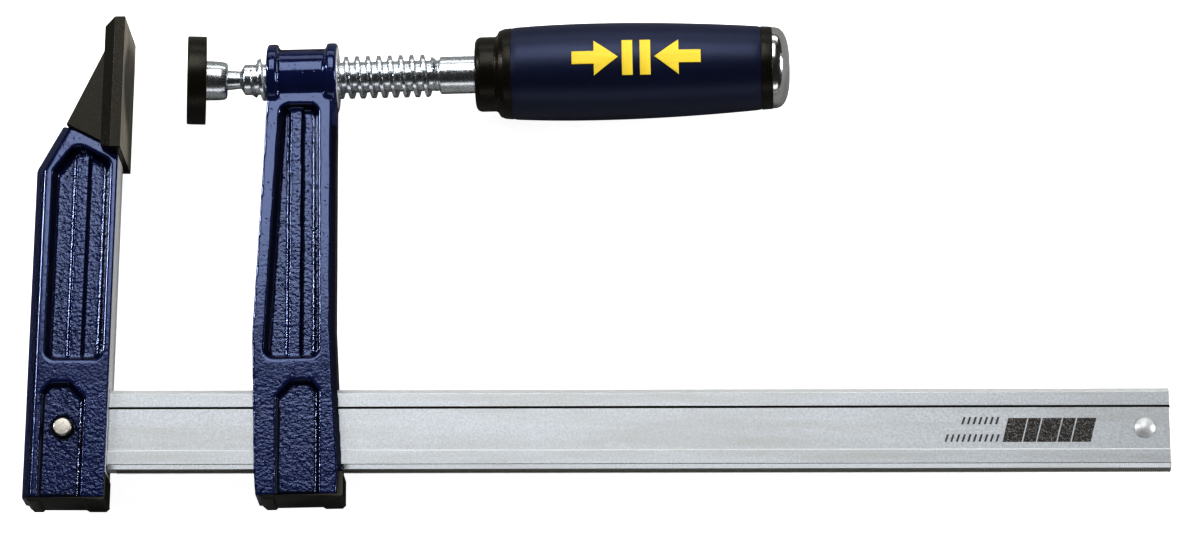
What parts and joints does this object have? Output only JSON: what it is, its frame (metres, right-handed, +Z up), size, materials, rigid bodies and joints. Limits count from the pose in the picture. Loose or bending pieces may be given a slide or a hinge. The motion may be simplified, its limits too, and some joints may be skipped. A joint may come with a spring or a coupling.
{
  "type": "f clamp",
  "caption": "Bar clamp with a fixed arm, a sliding arm that jams on a toothed bar, and a screw with a swivel pad and a barrel handle.",
  "frame": {"origin": "on the fixed jaw's clamping face, 120 mm (the nominal throat) from the bar's inner edge, in the clamp's middle plane; the spindle's axis passes within 1.5 mm of it", "axes": "the clamp lies on its side: +X along the bar from the fixed jaw to the bar's free end, +Y from the bar towards the jaws, +Z up, out of the clamp's own plane"},
  "size_m": [0.4081, 0.1823, 0.036],
  "materials": {
    "zinc_steel": "zinc plated, fine spangle, satin",
    "rivet_steel": "plain steel, formed heads",
    "hardened_steel": "hardened and blackened, ground",
    "spring_steel": "drawn wire",
    "blue_paint": "gloss enamel over a rough casting",
    "black_plastic": "fine moulded grain",
    "white_plastic": "smooth acetal",
    "blue_grip": "satin soft grip",
    "yellow_plastic": "satin, raised",
    "chrome_cap": "polished"
  },
  "bodies": {
    "bar_and_fixed_arm": {"bar": "zinc_steel", "bar_stop_rivet": "rivet_steel", "fixed_arm": "blue_paint", "fixed_arm_rivet": "rivet_steel", "fixed_jaw_cap": "black_plastic", "fixed_arm_foot": "black_plastic"},
    "brake": {"brake_pin": "hardened_steel"},
    "sliding_arm": {"sliding_arm": "blue_paint", "sliding_arm_foot": "black_plastic"},
    "ball_seat": {"ball_seat": "white_plastic"},
    "spindle_and_handle": {"spindle": "zinc_steel", "handle_core": "black_plastic", "handle_grip": "blue_grip", "handle_marks": "yellow_plastic", "handle_rear_ring": "black_plastic", "handle_end_cap": "chrome_cap", "tang_washer": "zinc_steel", "tang_nut": "zinc_steel"},
    "swivel_pad": {"pressure_plate": "zinc_steel", "pad_snap_ring": "spring_steel", "pad_cap": "black_plastic"}
  },
  "joints": [
    {"name": "arm_slide", "type": "slide", "parent": "bar_and_fixed_arm", "child": "brake", "axis": [1, 0, 0], "range_m": [-0.006, 0.281]},
    {"name": "arm_rock", "type": "hinge", "parent": "brake", "child": "sliding_arm", "pos_m": [0.055, -0.15205, 0], "axis": [0, 0, 1], "range_deg": [-2.9, 0]},
    {"name": "spindle_feed", "type": "slide", "parent": "sliding_arm", "child": "ball_seat", "axis": [0.9998, 0.0199, 0], "range_m": [-0.01201, 0.01351]},
    {"name": "spindle_turn", "type": "hinge", "parent": "ball_seat", "child": "spindle_and_handle", "pos_m": [0.03109, -0.0009, 0], "axis": [0.9998, 0.0199, 0], "range_deg": [-1080, 1215]},
    {"name": "pad_tilt", "type": "hinge", "parent": "ball_seat", "child": "swivel_pad", "pos_m": [0.03109, -0.0009, 0], "axis": [0, 0, 1], "range_deg": [-8, 8]}
  ],
  "couplings": [
    {"joint": "spindle_feed", "follows": "spindle_turn", "m_per_rad": 0.00063662}
  ]
}
